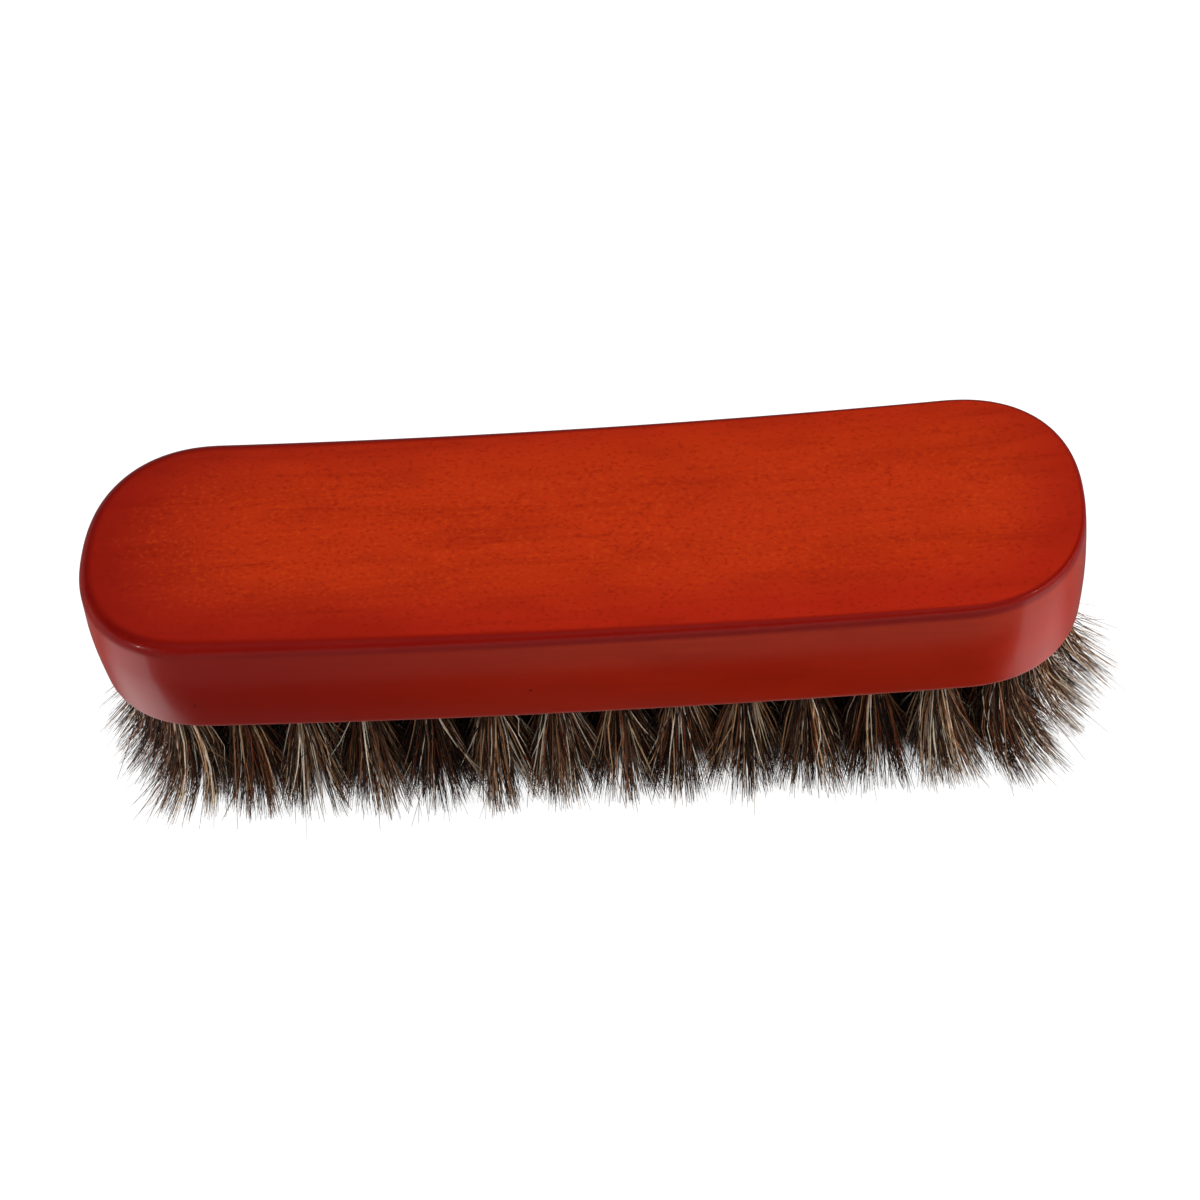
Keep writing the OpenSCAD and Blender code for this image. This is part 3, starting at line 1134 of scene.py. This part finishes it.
@dataclass
class Studio:
    """The pale floor, the soft light and the camera."""

    shape: BlockShape
    floor_radius: float = 5.0
    floor_hub: float = 0.5
    floor_sides: int = 96
    rim_height: float = 2.0
    rim_rings: int = 12
    focal: float = 75.5
    sensor: float = 36.0
    clip_start: float = 10 * MM
    azimuth: float = 6.18
    elevation: float = 47.0
    roll: float = -7.62
    distance: float = 425.5 * MM
    shift_right: float = 4.1 * MM
    shift_up: float = -12.4 * MM
    ambient: float = 0.07
    mirrored_sky: float = 0.02
    glow: float = 1.35
    glow_share: float = 0.68
    # Painted shadow under the brush and in front of it.
    painted_shadow_paper: Colour = tint(24, 18, 15)
    pale_paper: Colour = tint(236, 236, 236)
    # Where the painted shadow under the brush fades out.
    beyond_painted_shadow: Step = (0.5, 0.85)
    # A painted shadow in front of the brush, which the camera doesn't see.
    front_shadow_x: Step = (100 * MM, 86 * MM)
    front_shadow_near: Step = (-34 * MM, -39 * MM)
    front_shadow_far: Step = (-110 * MM, -80 * MM)
    field_x: float = 88 * MM
    field_slope: float = 0.7
    field_front: Step = (-43 * MM, -36 * MM)
    field_back: Step = (3 * MM, -22 * MM)
    field_out: Step = (170 * MM, 95 * MM, 0.2, 1.0)
    field_in: Step = (74 * MM, 92 * MM, 0.14, 0.9)
    field_fall: float = 1.5
    grey_front: Step = (-57 * MM, -66 * MM, 0.0, 0.12)
    grey_back: Step = (-16 * MM, 4 * MM, 0.0, 0.14)
    near: Step = (600 * MM, 350 * MM)
    far_grey: float = 0.14
    lamps: tuple[Lamp, ...] = (
        Lamp("soft_box_left", (-0.85, 0.0, 0.22), 0.5, 9.0, False),
        Lamp("soft_box_right", (0.82, -0.1, 0.32), 0.5, 7.3, False),
        Lamp("soft_box_top", (0.0, -0.1, 0.9), 0.7, 2.3, False),
        Lamp("fill_front", (0.15, -0.9, 0.22), 0.6, 2.5, False),
        Lamp("glint_left", (-0.65, -0.5, 0.45), 0.05, 0.3, True),
        Lamp("glint_right", (0.7, -0.43, 0.6), 0.05, 0.3, True),
    )

    def build(self) -> None:
        """Makes the floor, the lamps, the world and the camera."""
        self._floor()
        self._world()
        for lamp in self.lamps:
            self._lamp(lamp)
        self._camera()

    def _floor(self) -> None:
        """A flat disc whose rim curves up by a quarter circle, as one surface of revolution."""
        bend = np.linspace(0, np.pi / 2, self.rim_rings)
        flat = self.floor_radius - self.rim_height
        radius = np.concatenate([[0.0, self.floor_hub], flat + self.rim_height * np.sin(bend)])
        height = np.concatenate([[0.0, 0.0], self.rim_height * (1 - np.cos(bend))])
        points = raised(radius[:, None, None] * circle(self.floor_sides), height[:, None])
        made = mesh_object("studio_floor", points, [grid_faces(len(radius), self.floor_sides)])
        made.data.materials.append(self._paper())
        made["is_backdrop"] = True

    def _paper(self) -> Material:
        """White paper that is clear from below.

        To the camera it glows and shows its own shadow, and under the middle of the brush a painted shadow
        darkens it.
        A painted shadow lies in front of the brush for all but the camera.
        """
        bench = Bench(bpy.data.materials.new("studio_paper"))
        camera, glossy, clear_ray = bench.rays()
        x, y, _ = bench.split(bench.place())
        # Painted shadow: under the brush the paper is dark and doesn't glow.
        beyond_painted_shadow = self.shape.spread(x, y, 2.0).ramp(*self.beyond_painted_shadow)
        seen = camera + clear_ray
        # Painted shadow in front of the brush, for all rays but the camera's.
        front_shadow = abs(x).ramp(*self.front_shadow_x) * y.ramp(*self.front_shadow_near) * y.ramp(*self.front_shadow_far)
        pale = beyond_painted_shadow * (1 - front_shadow * (1 - seen))
        colour = bench.coats(self.painted_shadow_paper, (pale, self.pale_paper))
        plain = bench.node("BsdfDiffuse", {"Color": colour})
        glow = bench.node("Emission", {"Strength": self.glow})
        share = seen * beyond_painted_shadow * self.glow_share
        paper = bench.node("MixShader", {0: share, 1: plain, 2: glow})
        mirrored = bench.node("Emission", {"Color": self._mirrored(x, y)})
        paper = bench.node("MixShader", {0: glossy, 1: paper, 2: mirrored})
        bench.owner.cycles.emission_sampling = "NONE"
        below = bench.node("NewGeometry", output="Backfacing")
        clear = bench.node("BsdfTransparent")
        return bench.finish(bench.node("MixShader", {0: below, 1: paper, 2: clear}))

    def _mirrored(self, x: Sock, y: Sock) -> Sock:
        """The brightness that the gloss mirrors in the paper.

        Two bright fields lie to the left and the right of the brush, the left one a little brighter.
        Round them the paper is dark, it is grey before and behind them, and even grey far off.
        """
        reach = (y + (abs(x) - self.field_x).over(0.0) * self.field_slope).ramp(*self.field_front)
        field = reach * y.ramp(*self.field_back) * abs(x).ramp(*self.field_out)
        field = field * (abs(x).ramp(*self.field_in) - self.field_fall * x)
        field = field + y.ramp(*self.grey_front) + y.ramp(*self.grey_back)
        near = abs(x).ramp(*self.near)
        return near * field + (1 - near) * self.far_grey

    def _world(self) -> None:
        """A pale surround: white to the camera, even as light and dim to the gloss."""
        bench = Bench(bpy.data.worlds.new("studio_surround"))
        camera, glossy, clear_ray = bench.rays()
        seen = camera + clear_ray
        strength = (1 - seen - glossy) * self.ambient + seen + glossy * self.mirrored_sky
        shader = bench.node("Background", {"Color": tint(255, 255, 255), "Strength": strength})
        bpy.context.scene.world = bench.finish(shader)

    def _lamp(self, lamp: Lamp) -> None:
        """A soft box that faces the middle of the block and is itself out of sight."""
        light = bpy.data.lights.new(lamp.name, "AREA")
        light.size = lamp.size
        light.energy = lamp.power
        made = place_object(lamp.name, light)
        target = Vector((0, 0, self.shape.top_z))
        place = Vector(lamp.place)
        made.location = place
        made.rotation_euler = (place - target).to_track_quat("Z", "Y").to_euler()
        made.visible_camera = False
        made.visible_glossy = lamp.mirrored

    def _camera(self) -> None:
        """A camera turned about the middle of the block's top face."""
        scene = bpy.context.scene
        scene.view_settings.view_transform = "Standard"
        turn, tilt, roll = map(math.radians, (self.azimuth, self.elevation, self.roll))
        back = Vector((math.sin(turn) * math.cos(tilt), -math.cos(turn) * math.cos(tilt), math.sin(tilt)))
        level = Vector((math.cos(turn), math.sin(turn), 0))
        rise = back.cross(level)
        right = math.cos(roll) * level + math.sin(roll) * rise
        up = -math.sin(roll) * level + math.cos(roll) * rise
        middle = Vector((0, 0, self.shape.top_z))
        place = middle + back * self.distance + right * self.shift_right + up * self.shift_up
        lens = bpy.data.cameras.new("camera")
        lens.lens = self.focal
        lens.sensor_width = self.sensor
        lens.clip_start = self.clip_start
        made = place_object("camera", lens)
        made.matrix_world = Matrix.Translation(place) @ Matrix((right, up, back)).transposed().to_4x4()
        scene.camera = made


def corners() -> list[list[float]]:
    """The shown object's lowest and highest corners as plain numbers."""
    return [list(corner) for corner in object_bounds()]


def main() -> None:
    """Builds and dresses the brush, then sets the studio round it."""
    logging.basicConfig(level=logging.INFO, format="%(message)s")
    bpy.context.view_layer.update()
    shape = BlockShape()
    pieces = [Block(shape).build(Lacquer(shape)), *Tufts(shape).build(HairFinish())]
    for piece in pieces + Anchors(frame["nodes"]).dress(DrawnWire()):
        LOG.info("%s: %d faces", piece.name, len(piece.data.polygons))
    Studio(shape).build()


if __name__ == "__main__":
    main()
